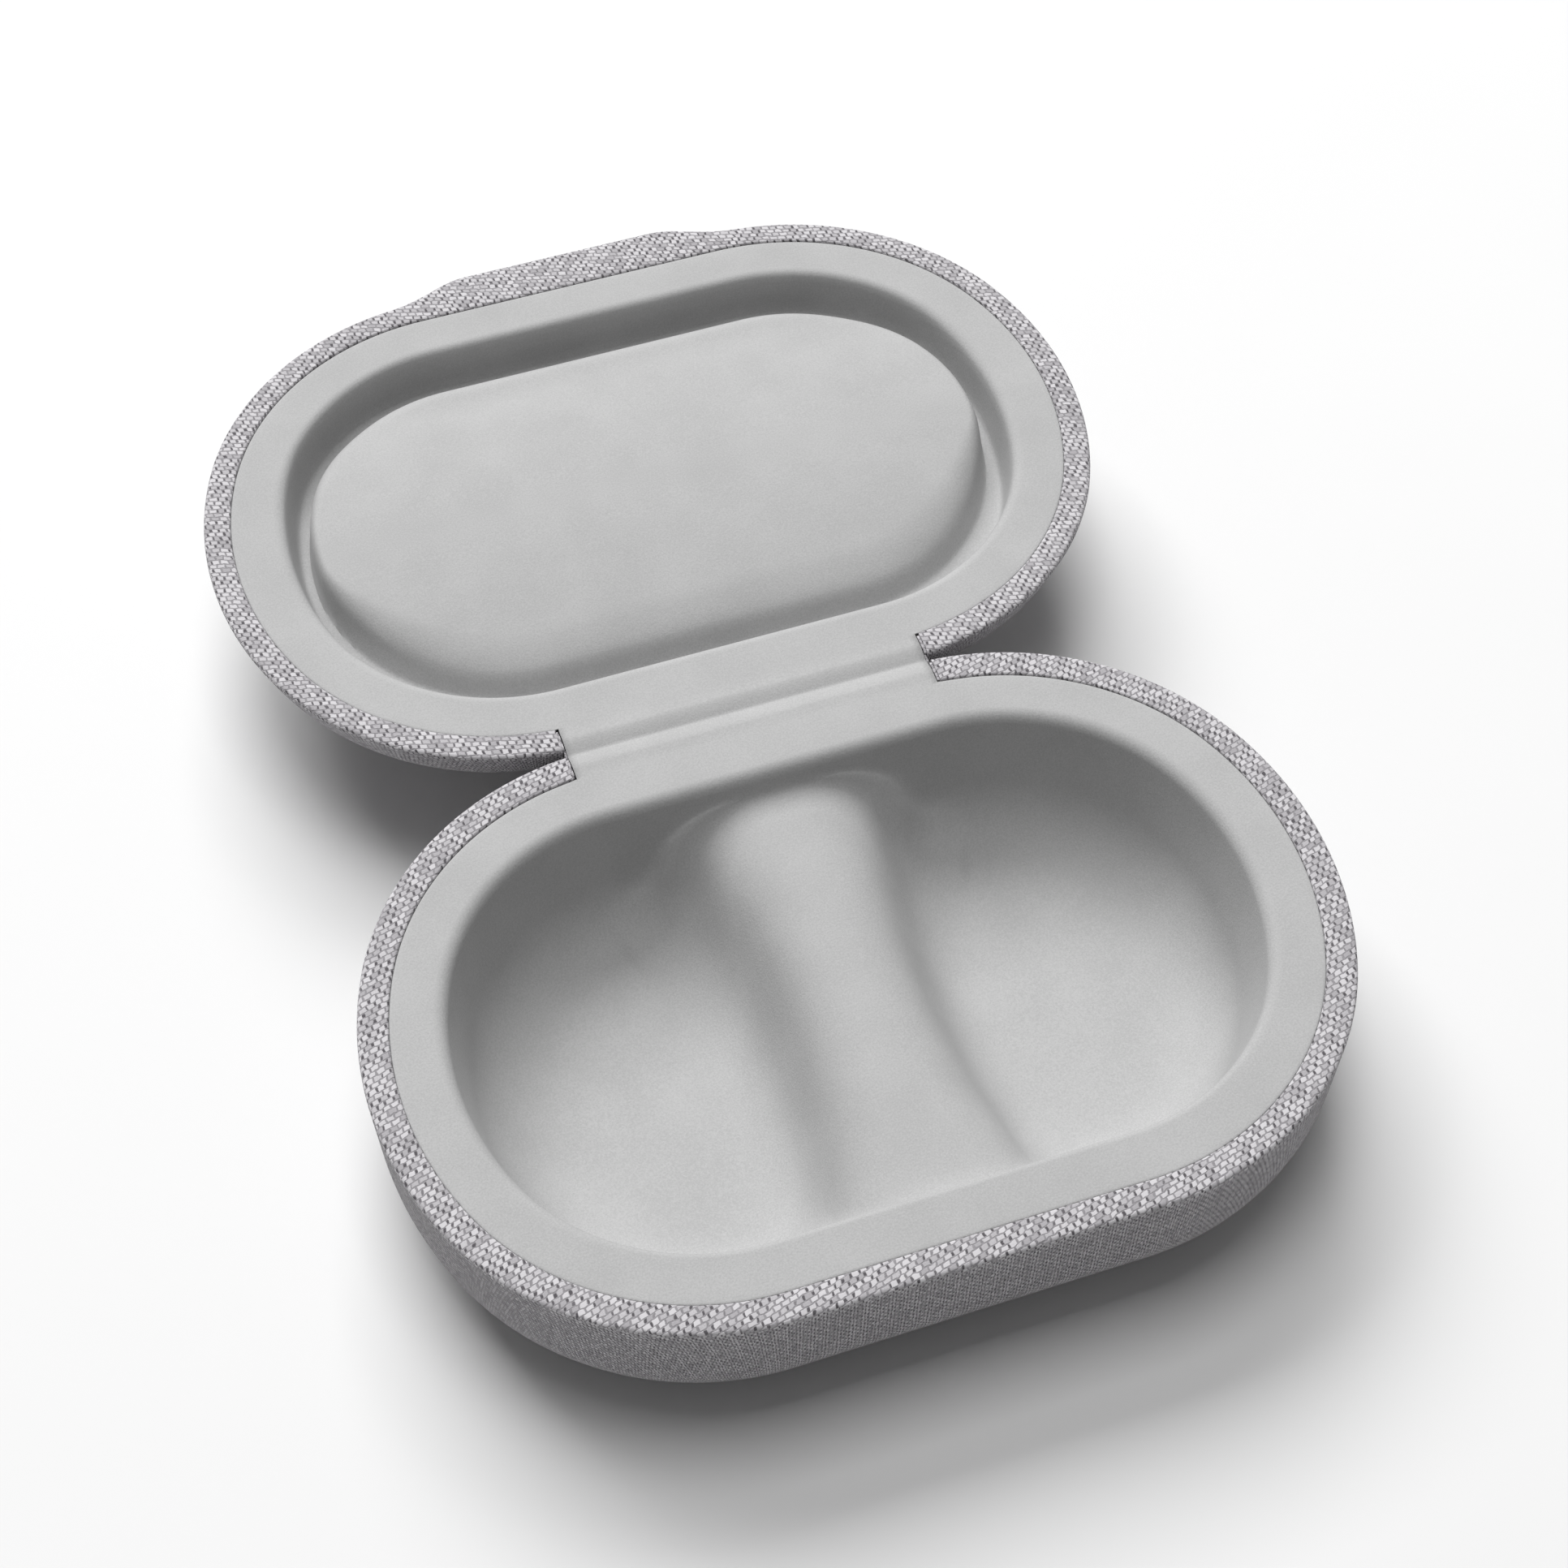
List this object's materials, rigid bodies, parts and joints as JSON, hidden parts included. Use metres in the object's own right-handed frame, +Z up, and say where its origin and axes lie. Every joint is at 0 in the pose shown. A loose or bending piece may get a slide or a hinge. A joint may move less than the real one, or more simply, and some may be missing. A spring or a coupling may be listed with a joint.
{
  "type": "hearing instrument carrying case",
  "caption": "Small oval clamshell case, woven outside and softly lined, lying open on a fabric hinge, with two moulded pockets for hearing instruments and a padded lid.",
  "frame": {"origin": "centre of the base's flat resting face", "axes": "+X along the hinge line, +Y from the base's front edge towards the hinge and the open lid, +Z up"},
  "size_m": [0.082, 0.1157, 0.016],
  "materials": {
    "woven_fabric": "light grey basket-weave polyester, matt",
    "moulded_board": "black heat-moulded EVA foam board",
    "frame_plastic": "fine spark-eroded texture",
    "insert_rubber": "dense moulded EVA rubber",
    "pad_foam": "open-cell foam",
    "soft_lining": "light grey flocked microfibre, very fine grain",
    "hinge_tape": "black woven tape",
    "magnet": "nickel plate"
  },
  "bodies": {
    "base": {"base_outer_fabric": "woven_fabric", "base_shell": "moulded_board", "base_rim_frame": "frame_plastic", "base_pocket_insert": "insert_rubber", "base_lining": "soft_lining", "base_hinge_tape": "hinge_tape", "base_magnet_left": "magnet", "base_magnet_right": "magnet"},
    "lid": {"lid_outer_fabric": "woven_fabric", "lid_shell": "moulded_board", "lid_rim_frame": "frame_plastic", "lid_pad": "pad_foam", "lid_lining": "soft_lining", "lid_hinge_tape": "hinge_tape", "lid_magnet_left": "magnet", "lid_magnet_right": "magnet"}
  },
  "joints": [
    {"name": "lid_hinge", "type": "hinge", "parent": "base", "child": "lid", "pos_m": [0, 0.02845, 0.0161], "axis": [1, 0, 0], "range_deg": [0, 180]}
  ]
}
